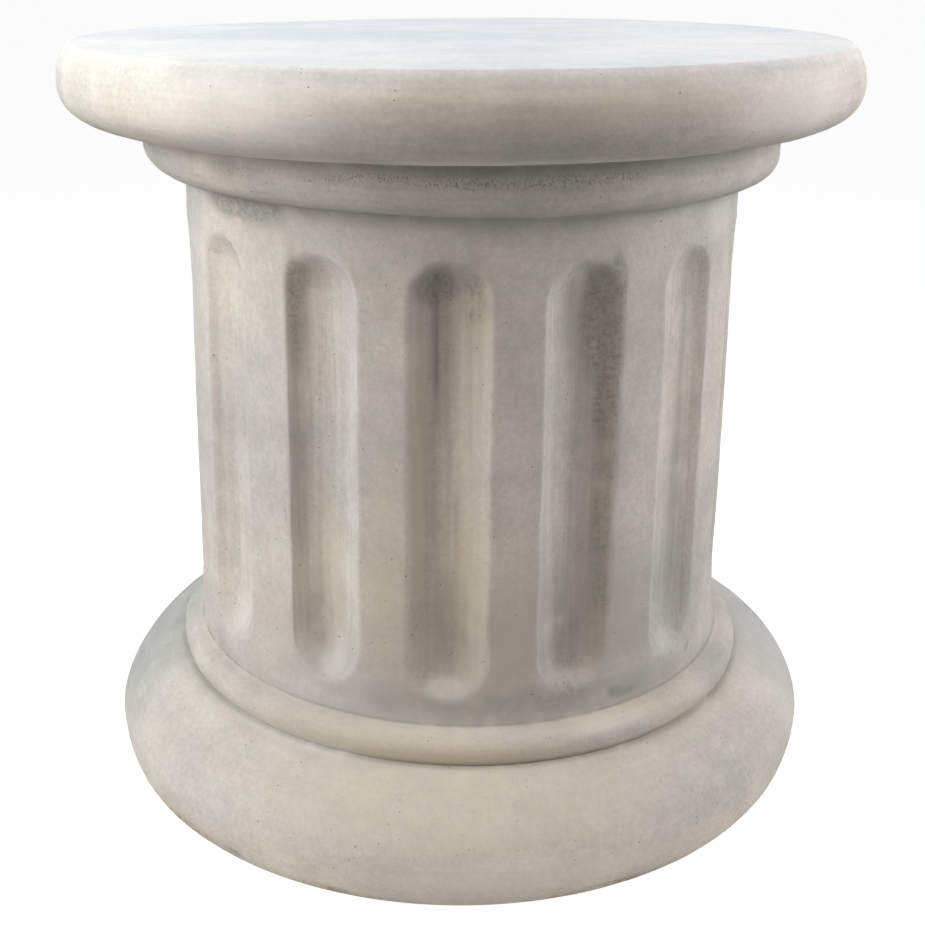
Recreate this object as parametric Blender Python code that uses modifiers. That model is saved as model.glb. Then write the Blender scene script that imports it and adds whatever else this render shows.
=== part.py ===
"""Fluted column pedestal: a short round column with a cap and a foot, cast in one piece.

Units are metres and +Z is up. The origin is the middle of the underside, on the floor, and the
side that is looked at is toward -Y. One turned body carries every moulding, and a ring of
round-ended flutes is cut into its shaft.
"""

import math

import bmesh
import bpy

# Heights of the bands, from the floor up
FOOT_LOWER_HEIGHT = 0.0310
FOOT_UPPER_HEIGHT = 0.0419
RING_LOWER_HEIGHT = 0.0078
RING_UPPER_HEIGHT = 0.0108
SHAFT_HEIGHT = 0.3085
NECK_CURVE_HEIGHT = 0.0170
NECK_BAND_HEIGHT = 0.0145
CAP_LOWER_HEIGHT = 0.0265
CAP_UPPER_HEIGHT = 0.0220

# The shaft's radius at its top, and how far each moulding stands out
SHAFT_TOP_RADIUS = 0.1768
SHAFT_SPREAD = 0.0050
NECK_PROJECTION = 0.0240
CAP_PROJECTION = 0.0467
CAP_EDGE_INSET = 0.0090
RING_PROJECTION = 0.0156
RING_UNDERCUT = 0.0020
FOOT_PROJECTION = 0.0479
UNDERSIDE_INSET = 0.0139

# The shaft flares a little where it meets the neck and the ring
FLARE_PROJECTION = 0.0022
FLARE_HEIGHT = 0.0140

# How square each swelling is: 2 is a quarter ellipse, and more is fuller
CAP_FULLNESS = 2.5
FOOT_UPPER_FULLNESS = 1.6
FOOT_LOWER_FULLNESS = 2.2

# Flutes: round-bottomed channels with rounded ends, all alike. They are spaced by eye, so they
# wander from even places, three times to and fro around the shaft.
FLUTE_COUNT = 14
FLUTE_WIDTH = 0.0455
FLUTE_DEPTH = 0.0120
FLUTE_FOOT_GAP = 0.0205
FLUTE_HEAD_GAP = 0.0260
FIRST_FLUTE_ANGLE = math.radians(-91.9)
FLUTE_WANDER = math.radians(1.1)
WANDER_WAVES = 3

# Fineness of the facets
SEGMENTS_PER_FLUTE = 6
SWELL_STEPS = 6
FLUTE_SIDES = 20
FLUTE_RINGS = 11
WELD_DISTANCE = 0.00001
SHARP_ANGLE = math.radians(35)

STONE_COLOUR = (0.58, 0.55, 0.50, 1.0)
STONE_ROUGHNESS = 0.85

# Levels and radii that follow from the sizes above
FOOT_TOP = FOOT_LOWER_HEIGHT + FOOT_UPPER_HEIGHT
RING_CREST = FOOT_TOP + RING_LOWER_HEIGHT
SHAFT_FOOT = RING_CREST + RING_UPPER_HEIGHT
SHAFT_HEAD = SHAFT_FOOT + SHAFT_HEIGHT
NECK_BAND_FOOT = SHAFT_HEAD + NECK_CURVE_HEIGHT
CAP_FOOT = NECK_BAND_FOOT + NECK_BAND_HEIGHT
CAP_CREST = CAP_FOOT + CAP_LOWER_HEIGHT
TOTAL_HEIGHT = CAP_CREST + CAP_UPPER_HEIGHT
SHAFT_FOOT_RADIUS = SHAFT_TOP_RADIUS + SHAFT_SPREAD
NECK_RADIUS = SHAFT_TOP_RADIUS + NECK_PROJECTION
CAP_RADIUS = NECK_RADIUS + CAP_PROJECTION
RING_RADIUS = SHAFT_FOOT_RADIUS + RING_PROJECTION
CREASE_RADIUS = RING_RADIUS - RING_UNDERCUT
FOOT_RADIUS = CREASE_RADIUS + FOOT_PROJECTION


def remove_scene_objects():
    """Empty the scene of whatever it opened with."""
    for thing in list(bpy.data.objects):
        bpy.data.objects.remove(thing, do_unlink=True)


def new_collection(name):
    """Make a collection under the scene."""
    collection = bpy.data.collections.new(name)
    bpy.context.scene.collection.children.link(collection)
    return collection


def stone_material(name):
    """Matt off-white artificial stone."""
    material = bpy.data.materials.new(name)
    material.use_nodes = True
    shader = material.node_tree.nodes["Principled BSDF"]
    shader.inputs["Base Color"].default_value = STONE_COLOUR
    shader.inputs["Roughness"].default_value = STONE_ROUGHNESS
    shader.inputs["Metallic"].default_value = 0.0
    material.diffuse_color = STONE_COLOUR
    return material


def swell(widest, end, fullness):
    """A quarter of a superellipse, upright at its widest point and level at its end."""
    points = []
    for step in range(SWELL_STEPS + 1):
        angle = math.pi / 2 * step / SWELL_STEPS
        across = math.cos(angle) ** (2 / fullness)
        along = math.sin(angle) ** (2 / fullness)
        radius = end[0] + (widest[0] - end[0]) * across
        points.append((radius, widest[1] + (end[1] - widest[1]) * along))
    points[-1] = end
    return points


def cap_brow():
    """The arc over the cap's side, from its edge on the flat top down to its widest point."""
    inset, rise = CAP_EDGE_INSET, CAP_UPPER_HEIGHT
    arc_radius = (inset ** 2 + rise ** 2) / (2 * inset)
    opening = math.asin(min(1.0, rise / arc_radius))
    steps = SWELL_STEPS // 2
    points = []
    for step in range(steps + 1):
        angle = opening * (1 - step / steps)
        radius = CAP_RADIUS - arc_radius * (1 - math.cos(angle))
        points.append((radius, CAP_CREST + arc_radius * math.sin(angle)))
    return points


def flare_curve(edge, shaft_radius):
    """The hollow curve by which the shaft widens to the edge point at its head or its foot."""
    steps = SWELL_STEPS // 3
    toward_middle = -1 if edge[1] > (SHAFT_FOOT + SHAFT_HEAD) / 2 else 1
    points = []
    for step in range(steps + 1):
        share = step / steps
        height = edge[1] + toward_middle * FLARE_HEIGHT * share
        points.append((shaft_radius + FLARE_PROJECTION * (1 - share) ** 2, height))
    return points


def column_profile():
    """Radius and height of the outline, from the middle of the top to that of the underside."""
    cap_widest = (CAP_RADIUS, CAP_CREST)
    flare_head = (SHAFT_TOP_RADIUS + FLARE_PROJECTION, SHAFT_HEAD)
    flare_foot = (SHAFT_FOOT_RADIUS + FLARE_PROJECTION, SHAFT_FOOT)
    ring_crest = (RING_RADIUS, RING_CREST)
    crease = (CREASE_RADIUS, FOOT_TOP)
    foot_widest = (FOOT_RADIUS, FOOT_LOWER_HEIGHT)
    underside_edge = (FOOT_RADIUS - UNDERSIDE_INSET, 0.0)
    points = [(0.0, TOTAL_HEIGHT)]
    points += cap_brow()
    points += swell(cap_widest, (NECK_RADIUS, CAP_FOOT), CAP_FULLNESS)
    points += swell((NECK_RADIUS, NECK_BAND_FOOT), flare_head, 2)
    points += flare_curve(flare_head, SHAFT_TOP_RADIUS)
    points += reversed(flare_curve(flare_foot, SHAFT_FOOT_RADIUS))
    points += reversed(swell(ring_crest, flare_foot, 2))
    points += swell(ring_crest, crease, 2)
    points += reversed(swell(foot_widest, crease, FOOT_UPPER_FULLNESS))
    points += swell(foot_widest, underside_edge, FOOT_LOWER_FULLNESS)
    points.append((0.0, 0.0))
    return without_repeats(points)


def without_repeats(points):
    """Drop each point that falls on the one before it, where two curves meet."""
    kept = [points[0]]
    for point in points[1:]:
        if math.dist(point, kept[-1]) > WELD_DISTANCE:
            kept.append(point)
    return kept


def turned_body(name, profile, segments):
    """Turn the profile about the Z axis with a Screw modifier."""
    outline = bmesh.new()
    verts = [outline.verts.new((radius, 0.0, height)) for radius, height in profile]
    for upper, lower in zip(verts, verts[1:]):
        outline.edges.new((upper, lower))
    mesh = bpy.data.meshes.new(name)
    outline.to_mesh(mesh)
    outline.free()
    body = bpy.data.objects.new(name, mesh)
    screw = body.modifiers.new("turning", "SCREW")
    screw.axis = "Z"
    screw.angle = math.tau
    screw.steps = segments
    screw.render_steps = segments
    screw.use_merge_vertices = True
    screw.merge_threshold = WELD_DISTANCE
    return body


def flute_mesh(name):
    """A round bar with rounded ends, along Z, whose cut in the shaft is one flute."""
    half_width = FLUTE_WIDTH / 2
    bar_radius = (half_width ** 2 + FLUTE_DEPTH ** 2) / (2 * FLUTE_DEPTH)
    flute_length = SHAFT_HEIGHT - FLUTE_FOOT_GAP - FLUTE_HEAD_GAP
    stretch = flute_length / 2 - half_width
    bar = bmesh.new()
    bmesh.ops.create_uvsphere(bar, u_segments=FLUTE_SIDES, v_segments=FLUTE_RINGS,
                              radius=bar_radius)
    for vert in bar.verts:
        vert.co.z += math.copysign(stretch, vert.co.z)
    mesh = bpy.data.meshes.new(name)
    bar.to_mesh(mesh)
    bar.free()
    return mesh, bar_radius


def flute_angle(index):
    """Where a flute sits around the shaft."""
    turn = math.tau * index / FLUTE_COUNT
    return FIRST_FLUTE_ANGLE + turn - FLUTE_WANDER * math.sin(WANDER_WAVES * turn)


def place_flute_cutters(collection):
    """Set one bar at each flute, leaning with the shaft's slight taper."""
    mesh, bar_radius = flute_mesh("flute_bar")
    middle = (SHAFT_FOOT + FLUTE_FOOT_GAP + SHAFT_HEAD - FLUTE_HEAD_GAP) / 2
    taper = SHAFT_SPREAD / SHAFT_HEIGHT
    shaft_radius = SHAFT_TOP_RADIUS + taper * (SHAFT_HEAD - middle)
    centre_radius = shaft_radius - FLUTE_DEPTH + bar_radius
    for index in range(FLUTE_COUNT):
        angle = flute_angle(index)
        cutter = bpy.data.objects.new(f"flute_bar_{index + 1:02d}", mesh)
        cutter.location = (centre_radius * math.cos(angle), centre_radius * math.sin(angle), middle)
        cutter.rotation_euler = (0.0, -math.atan(taper), angle)
        cutter.hide_render = True
        cutter.display_type = "WIRE"
        collection.objects.link(cutter)


def cut_flutes(body, cutters):
    """Take every bar of the collection out of the body."""
    cut = body.modifiers.new("flutes", "BOOLEAN")
    cut.operation = "DIFFERENCE"
    cut.operand_type = "COLLECTION"
    cut.collection = cutters
    cut.solver = "EXACT"


def settle_mesh(body):
    """Give the body its finished mesh in place of its modifiers, shaded smooth with crisp edges."""
    bpy.context.view_layer.update()
    evaluated = body.evaluated_get(bpy.context.evaluated_depsgraph_get())
    mesh = bpy.data.meshes.new_from_object(evaluated)
    mesh.name = body.name
    body.modifiers.clear()
    body.data = mesh
    mesh.shade_smooth()
    mesh.set_sharp_from_angle(angle=SHARP_ANGLE)


def main():
    """Build the pedestal."""
    remove_scene_objects()
    pedestal = new_collection("fluted_column_pedestal")
    cutters = new_collection("flute_cutters")
    column = turned_body("column_pedestal", column_profile(), FLUTE_COUNT * SEGMENTS_PER_FLUTE)
    pedestal.objects.link(column)
    place_flute_cutters(cutters)
    cut_flutes(column, cutters)
    settle_mesh(column)
    column.data.materials.clear()
    column.data.materials.append(stone_material("cast_stone"))


main()
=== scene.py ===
"""Looks of the fluted column pedestal: an aged off-white stone casting under soft studio light.

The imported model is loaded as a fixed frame. One finely sculpted shell stands for its single node:
the same mouldings and flutes, with the softness, warps, chips and pits of a hand-finished casting.
Units are metres and +Z is up. Azimuths are in degrees around the column, 0 at the front (-Y) and
growing toward the viewer's right (+X).
"""

import logging
import math
from dataclasses import dataclass, field
from enum import Enum

import bmesh
import bpy
import numpy as np
from mathutils import Euler, Matrix, Vector, noise


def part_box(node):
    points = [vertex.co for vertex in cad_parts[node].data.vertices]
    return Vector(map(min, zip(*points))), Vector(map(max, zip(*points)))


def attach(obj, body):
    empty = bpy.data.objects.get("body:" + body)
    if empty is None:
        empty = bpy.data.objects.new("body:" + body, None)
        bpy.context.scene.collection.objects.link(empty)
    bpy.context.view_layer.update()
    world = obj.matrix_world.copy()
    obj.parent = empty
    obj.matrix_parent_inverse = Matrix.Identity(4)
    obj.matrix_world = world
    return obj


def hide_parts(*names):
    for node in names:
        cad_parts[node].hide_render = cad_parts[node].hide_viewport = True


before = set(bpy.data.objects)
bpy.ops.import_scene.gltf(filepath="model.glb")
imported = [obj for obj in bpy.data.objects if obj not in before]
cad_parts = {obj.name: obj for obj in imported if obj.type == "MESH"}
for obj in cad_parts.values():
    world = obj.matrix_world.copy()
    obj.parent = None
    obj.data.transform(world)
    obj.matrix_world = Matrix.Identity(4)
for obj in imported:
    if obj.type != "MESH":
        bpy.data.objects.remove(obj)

LOG = logging.getLogger("pedestal")
NODE = "column_pedestal"
BODY = "root"
PHOTO_SIDE = 925
SAME_POINT = 1e-5
WELD_DISTANCE = 1e-6
Colour = tuple[float, float, float]


def smooth_step(low: float, high: float, value: np.ndarray) -> np.ndarray:
    """Ease from 0 to 1 between two limits.

    Args:
        low: the value at which the step starts to rise; it may be above high for a fall.
        high: the value at which the step ends.
        value: the values to ease.

    Returns:
        An array of shares from 0 to 1.
    """
    share = np.clip((value - low) / (high - low), 0.0, 1.0)
    return share * share * (3.0 - 2.0 * share)


def soft_noise(points: np.ndarray, grain: tuple[float, float, float], octaves: int = 3,
               shift: float = 0.0) -> np.ndarray:
    """Fractal noise at points, about -1 to 1.

    Args:
        points: positions, one row each.
        grain: the size of the largest lumps along X, Y and Z, in metres.
        octaves: how many finer layers are added.
        shift: moves the pattern, so that two calls differ.

    Returns:
        One value for each point.
    """
    scaled = points / np.array(grain) + shift
    values = [noise.fractal(Vector(place), 0.9, 2.1, octaves) for place in scaled.tolist()]
    return np.array(values)


@dataclass
class Mouldings:
    """Levels and radii of the turned form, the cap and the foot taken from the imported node."""

    foot_lower_height: float = 0.0310
    foot_upper_height: float = 0.0419
    ring_lower_height: float = 0.0078
    ring_upper_height: float = 0.0108
    shaft_height: float = 0.3085
    neck_curve_height: float = 0.0170
    neck_band_height: float = 0.0145
    cap_upper_height: float = 0.0220
    shaft_top_radius: float = 0.1768
    shaft_spread: float = 0.0050
    neck_projection: float = 0.0240
    cap_edge_inset: float = 0.0090
    ring_projection: float = 0.0156
    ring_undercut: float = 0.0020
    foot_projection: float = 0.0479
    underside_inset: float = 0.0139
    flare_projection: float = 0.0022
    flare_height: float = 0.0140
    cap_fullness: float = 2.5
    foot_upper_fullness: float = 1.6
    foot_lower_fullness: float = 2.2
    edge_rounding: float = 0.0010
    step: float = 0.0031
    shaft_step: float = 0.0062
    edge_steps: int = 5
    flat_steps: int = 14
    flare_steps: int = 6
    swell_length: float = 1.3
    flute_end_zone: float = 0.0480
    total_height: float = field(init=False)
    cap_radius: float = field(init=False)

    def __post_init__(self) -> None:
        """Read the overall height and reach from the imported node's box."""
        _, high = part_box(NODE)
        self.total_height = float(high[2])
        self.cap_radius = float(high[0])

    @property
    def foot_top(self) -> float:
        """Level of the crease between the foot and the ring."""
        return self.foot_lower_height + self.foot_upper_height

    @property
    def ring_crest(self) -> float:
        """Level of the ring's widest line."""
        return self.foot_top + self.ring_lower_height

    @property
    def shaft_foot(self) -> float:
        """Level where the shaft meets the ring."""
        return self.ring_crest + self.ring_upper_height

    @property
    def shaft_head(self) -> float:
        """Level where the shaft meets the neck."""
        return self.shaft_foot + self.shaft_height

    @property
    def neck_band_foot(self) -> float:
        """Level where the neck's upright band starts."""
        return self.shaft_head + self.neck_curve_height

    @property
    def cap_foot(self) -> float:
        """Level where the neck meets the cap."""
        return self.neck_band_foot + self.neck_band_height

    @property
    def cap_crest(self) -> float:
        """Level of the cap's widest line."""
        return self.total_height - self.cap_upper_height

    @property
    def shaft_foot_radius(self) -> float:
        """Radius of the shaft just above its lower flare."""
        return self.shaft_top_radius + self.shaft_spread

    @property
    def neck_radius(self) -> float:
        """Radius of the neck's upright band."""
        return self.shaft_top_radius + self.neck_projection

    @property
    def ring_radius(self) -> float:
        """Radius of the ring's widest line."""
        return self.shaft_foot_radius + self.ring_projection

    @property
    def crease_radius(self) -> float:
        """Radius of the crease between the foot and the ring."""
        return self.ring_radius - self.ring_undercut

    @property
    def foot_radius(self) -> float:
        """Radius of the foot's widest line."""
        return self.crease_radius + self.foot_projection

    def steps_for(self, length: float, step: float = 0.0) -> int:
        """How many rows a stretch of the outline takes, at the usual step unless one is given."""
        return max(2, round(length / (step or self.step)))

    def swell(self, widest: tuple[float, float], end: tuple[float, float],
              fullness: float) -> list[tuple[float, float]]:
        """A quarter superellipse, upright at its widest point and level at its end.

        Args:
            widest: radius and height of the widest point.
            end: radius and height of the point where it runs level.
            fullness: 2 for a quarter ellipse, and more for a squarer one.

        Returns:
            Points from the widest one to the end.
        """
        steps = self.steps_for(self.swell_length * math.dist(widest, end))
        points = []
        for index in range(steps + 1):
            angle = math.pi / 2 * index / steps
            across = math.cos(angle) ** (2 / fullness)
            along = math.sin(angle) ** (2 / fullness)
            points.append((end[0] + (widest[0] - end[0]) * across,
                           widest[1] + (end[1] - widest[1]) * along))
        points[-1] = end
        return points

    def brow(self) -> list[tuple[float, float]]:
        """The arc over the cap's side, down from its rounded edge on the top.

        Returns:
            Points from the edge down to the cap's widest line.
        """
        inset, rise = self.cap_edge_inset, self.cap_upper_height
        arc_radius = (inset ** 2 + rise ** 2) / (2 * inset)
        opening = math.asin(rise / arc_radius)
        start = opening - self.edge_rounding / arc_radius
        steps = self.steps_for(arc_radius * start)
        points = []
        for index in range(steps + 1):
            angle = start * (1 - index / steps)
            points.append((self.cap_radius - arc_radius * (1 - math.cos(angle)),
                           self.cap_crest + arc_radius * math.sin(angle)))
        return points

    def top_edge(self) -> list[tuple[float, float]]:
        """The small rounding between the flat top and the brow.

        Returns:
            Points from the flat top outward, short of the brow's first one.
        """
        corner = Vector((self.cap_radius - self.cap_edge_inset, self.total_height))
        start = corner - Vector((self.edge_rounding, 0.0))
        end = Vector(self.brow()[0])
        points = []
        for index in range(self.edge_steps):
            share = index / self.edge_steps
            points.append(tuple(start.lerp(corner, share).lerp(corner.lerp(end, share), share)))
        return points

    def flat(self, start: float, end: float, height: float) -> list[tuple[float, float]]:
        """A level stretch from one radius to another.

        Args:
            start: the radius it starts at.
            end: the radius it ends at.
            height: its level.

        Returns:
            Evenly spaced points from the start to the end.
        """
        points = []
        for index in range(self.flat_steps + 1):
            share = index / self.flat_steps
            points.append((start + (end - start) * share, height))
        return points

    def upright(self, top: tuple[float, float], bottom: tuple[float, float],
                step: float = 0.0) -> list[tuple[float, float]]:
        """A straight stretch from one point down to another.

        Args:
            top: radius and height of its upper end.
            bottom: radius and height of its lower end.
            step: the distance between its rows, or 0 for the usual one.

        Returns:
            Evenly spaced points from the top to the bottom.
        """
        steps = self.steps_for(math.dist(top, bottom), step)
        start, end = Vector(top), Vector(bottom)
        return [tuple(start.lerp(end, index / steps)) for index in range(steps + 1)]

    def shaft_side(self, top: tuple[float, float],
                   bottom: tuple[float, float]) -> list[tuple[float, float]]:
        """The shaft's straight side, with close rows where the flutes begin and end.

        Args:
            top: radius and height of its upper end.
            bottom: radius and height of its lower end.

        Returns:
            Points from the top to the bottom.
        """
        share = self.flute_end_zone / math.dist(top, bottom)
        upper = tuple(Vector(top).lerp(Vector(bottom), share))
        lower = tuple(Vector(bottom).lerp(Vector(top), share))
        return (self.upright(top, upper) + self.upright(upper, lower, self.shaft_step)
                + self.upright(lower, bottom))

    def flare(self, shaft: tuple[float, float],
              edge: tuple[float, float]) -> list[tuple[float, float]]:
        """The hollow curve by which the shaft widens toward its edge point.

        Args:
            shaft: radius and height where it leaves the shaft's straight side.
            edge: radius and height of the widened edge.

        Returns:
            Points from the shaft to the edge.
        """
        points = []
        for index in range(self.flare_steps + 1):
            share = index / self.flare_steps
            points.append((shaft[0] + (edge[0] - shaft[0]) * share ** 3,
                           shaft[1] + (edge[1] - shaft[1]) * share))
        return points

    def outline(self) -> list[tuple[float, float]]:
        """Radius and height down the outer side, from the middle of the top to the underside's.

        Returns:
            Points without repeats, the first and the last on the axis.
        """
        head = (self.shaft_top_radius + self.flare_projection, self.shaft_head)
        foot = (self.shaft_foot_radius + self.flare_projection, self.shaft_foot)
        shaft_top = (self.shaft_top_radius, self.shaft_head - self.flare_height)
        shaft_bottom = (self.shaft_foot_radius, self.shaft_foot + self.flare_height)
        ring = (self.ring_radius, self.ring_crest)
        crease = (self.crease_radius, self.foot_top)
        foot_widest = (self.foot_radius, self.foot_lower_height)
        underside = (self.foot_radius - self.underside_inset, 0.0)
        rows = self.flat(0.0, self.top_edge()[0][0], self.total_height)
        rows += self.top_edge()
        rows += self.brow()
        rows += self.swell((self.cap_radius, self.cap_crest), (self.neck_radius, self.cap_foot),
                           self.cap_fullness)
        rows += self.upright((self.neck_radius, self.cap_foot),
                             (self.neck_radius, self.neck_band_foot))
        rows += self.swell((self.neck_radius, self.neck_band_foot), head, 2.0)
        rows += reversed(self.flare(shaft_top, head))
        rows += self.shaft_side(shaft_top, shaft_bottom)
        rows += self.flare(shaft_bottom, foot)
        rows += reversed(self.swell(ring, foot, 2.0))
        rows += self.swell(ring, crease, 2.0)
        rows += reversed(self.swell(foot_widest, crease, self.foot_upper_fullness))
        rows += self.swell(foot_widest, underside, self.foot_lower_fullness)
        rows += self.flat(underside[0], 0.0, 0.0)
        kept = [rows[0]]
        for point in rows[1:]:
            if math.dist(point, kept[-1]) > SAME_POINT:
                kept.append(point)
        return kept


@dataclass
class Flutes:
    """The ring of round-ended channels in the shaft."""

    count: int = 14
    width: float = 0.0455
    depth: float = 0.0120
    foot_gap: float = 0.0205
    head_gap: float = 0.0260
    first_angle: float = -1.9
    wander: float = 1.1
    waves: int = 3
    rim_softness: float = 0.0010
    foot_softness: float = 0.0022
    rest_depth: float = 0.0040
    bead_height: float = 0.0003
    bead_width: float = 0.0022
    columns_each: int = 34
    rim_crowding: float = 0.45
    rim_reach: float = 0.0120
    # How strongly each flute's rim shows its raised bump and painted highlight, and how much of
    # that is left at the flutes' ends.
    bead_and_highlight: tuple[float, ...] = (0.15, 0.75, 0.90, 0.6, 0.5, 0.7, 0.4, 0.6, 0.5, 0.7, 0.4, 0.5, 0.55,
                               0.70)
    end_bead_and_highlight: float = 0.35
    raggedness: float = 0.0011
    ragged_grain: tuple[float, float, float] = (0.045, 0.045, 0.030)
    depth_change: float = 0.07

    @property
    def columns(self) -> int:
        """How many columns of faces go around the whole piece."""
        return self.count * self.columns_each

    @property
    def bar_radius(self) -> float:
        """Radius of the round bar that would cut such a channel."""
        half = self.width / 2
        return (half ** 2 + self.depth ** 2) / (2 * self.depth)

    def centre(self, index: int) -> float:
        """Azimuth of one flute.

        Args:
            index: the flute's number, 0 for the one nearest the front.

        Returns:
            The azimuth in radians.
        """
        turn = math.tau * index / self.count
        sway = math.radians(self.wander) * math.sin(self.waves * turn)
        return math.radians(self.first_angle) + turn - sway

    def crowd_columns(self, turn: np.ndarray) -> np.ndarray:
        """Move evenly spread columns closer together at the flutes' rims.

        Args:
            turn: even angles in radians, measured from the first flute.

        Returns:
            Azimuths in radians.
        """
        pitch = math.tau / self.count
        ripple = np.sin(2 * math.tau * turn / pitch)
        crowded = turn + pitch * self.rim_crowding * ripple / (4 * math.pi)
        sway = math.radians(self.wander) * np.sin(self.waves * crowded)
        return math.radians(self.first_angle) + crowded - sway

    def depths(self, surface: "Surface",
               form: Mouldings) -> tuple[np.ndarray, dict[str, np.ndarray]]:
        """How far each point of the shaft is cut back.

        Args:
            surface: the points of the turned shell.
            form: the mouldings that the flutes lie between.

        Returns:
            The cut in metres, and layers from 0 to 1: how far a point lies inside a flute, its
            place across the rim with 0.5 on the rim's line, and how strongly the rim's bump and its
            painted highlight show there.
        """
        low = form.shaft_foot + self.foot_gap + self.width / 2
        high = form.shaft_head - self.head_gap - self.width / 2
        beyond = np.maximum(0.0, np.maximum(low - surface.height, surface.height - high))
        on_shaft = (surface.height > form.shaft_foot + form.flare_height * 0.5)
        on_shaft &= surface.height < form.shaft_head - form.flare_height * 0.5
        cut = np.zeros_like(surface.height)
        inside = np.zeros_like(surface.height)
        rim = np.ones_like(surface.height)
        bead_and_highlight = np.zeros_like(surface.height)
        ragged = self.raggedness * soft_noise(surface.points, self.ragged_grain, 3, 3.0)
        for index in range(self.count):
            off = np.angle(np.exp(1j * (surface.azimuth - self.centre(index))))
            near = on_shaft & (np.abs(off) < math.pi / self.count) & (beyond < self.width)
            across = off[near] * surface.radius[near] + ragged[near]
            depth = self.depth * (1.0 + self.depth_change * math.sin(2.3 * index + 0.8))
            reach = np.hypot(across, beyond[near])
            bar = np.sqrt(np.maximum(0.0, self.bar_radius ** 2 - reach ** 2))
            raw = np.maximum(bar - (self.bar_radius - depth), -self.rest_depth)
            low_end = smooth_step(low + self.width / 2, low - self.width / 4, surface.height[near])
            blur = 4 * (self.rim_softness + self.foot_softness * low_end) ** 2
            rest = (np.sqrt(self.rest_depth ** 2 + blur) - self.rest_depth) / 2
            bead = np.exp(-((reach - self.width / 2 - self.bead_width) / self.bead_width) ** 2)
            cut[near] = (raw + np.sqrt(raw ** 2 + blur)) / 2 - rest
            cut[near] -= self.bead_height * bead * (1.0 - low_end)
            inside[near] = smooth_step(-0.0005, 0.0040, raw)
            rim[near] = np.clip(0.5 + (reach - self.width / 2) / (2 * self.rim_reach), 0.0, 1.0)
            along_end = smooth_step(0.0, self.width / 3, beyond[near])
            bead_and_highlight[near] = self.bead_and_highlight[index] * (1.0 + (self.end_bead_and_highlight - 1.0) * along_end)
        return cut * on_shaft, {"flute": inside, "rim": rim, "bead_and_highlight": bead_and_highlight}


@dataclass
class Surface:
    """Positions on the shell, in the forms that the sculpting reads."""

    points: np.ndarray
    normals: np.ndarray

    @property
    def height(self) -> np.ndarray:
        """Height of each point."""
        return self.points[:, 2]

    @property
    def radius(self) -> np.ndarray:
        """Distance of each point from the axis."""
        return np.hypot(self.points[:, 0], self.points[:, 1])

    @property
    def azimuth(self) -> np.ndarray:
        """Azimuth of each point in radians, 0 at the front."""
        return np.arctan2(self.points[:, 0], -self.points[:, 1])


class MarkKind(Enum):
    """What a local mark does to the surface."""

    DENT = "dent"
    # Dark stains; a few are painted shade under the cap and along the foot's lower edge.
    STAIN_AND_SHADE = "stain_and_shade"
    TAN = "tan"
    PITS = "pits"
    SPECKS = "specks"
    RAW = "raw"
    # Lighter patches; several are painted light on the flutes' scoops, the cap's underside and the
    # foot.
    PALE = "pale"
    # Greyer patches; one darkens the cap's underside as painted shade.
    GREYER = "greyer"


@dataclass(frozen=True)
class Mark:
    """One stain, dent, pitted patch, or patch of painted shade or painted light: an ellipse laid on
    the surface.

    The azimuth is in degrees and the lean in degrees clockwise. Height, half widths across and
    along, and a dent's strength are in metres; the strength of other marks is a share.
    """

    kind: MarkKind
    azimuth: float
    height: float
    across: float
    along: float
    strength: float
    lean: float = 0.0

    def shares(self, surface: Surface) -> np.ndarray:
        """How strongly the mark reaches each point.

        Args:
            surface: the points that it may reach.

        Returns:
            A share from 0 to 1 for each point.
        """
        off = np.angle(np.exp(1j * (surface.azimuth - math.radians(self.azimuth))))
        side = off * surface.radius
        rise = surface.height - self.height
        turn = math.radians(self.lean)
        along = rise * math.cos(turn) + side * math.sin(turn)
        across = side * math.cos(turn) - rise * math.sin(turn)
        reach = np.hypot(across / self.across, along / self.along)
        return 1.0 - smooth_step(0.25, 1.0, reach)


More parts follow.
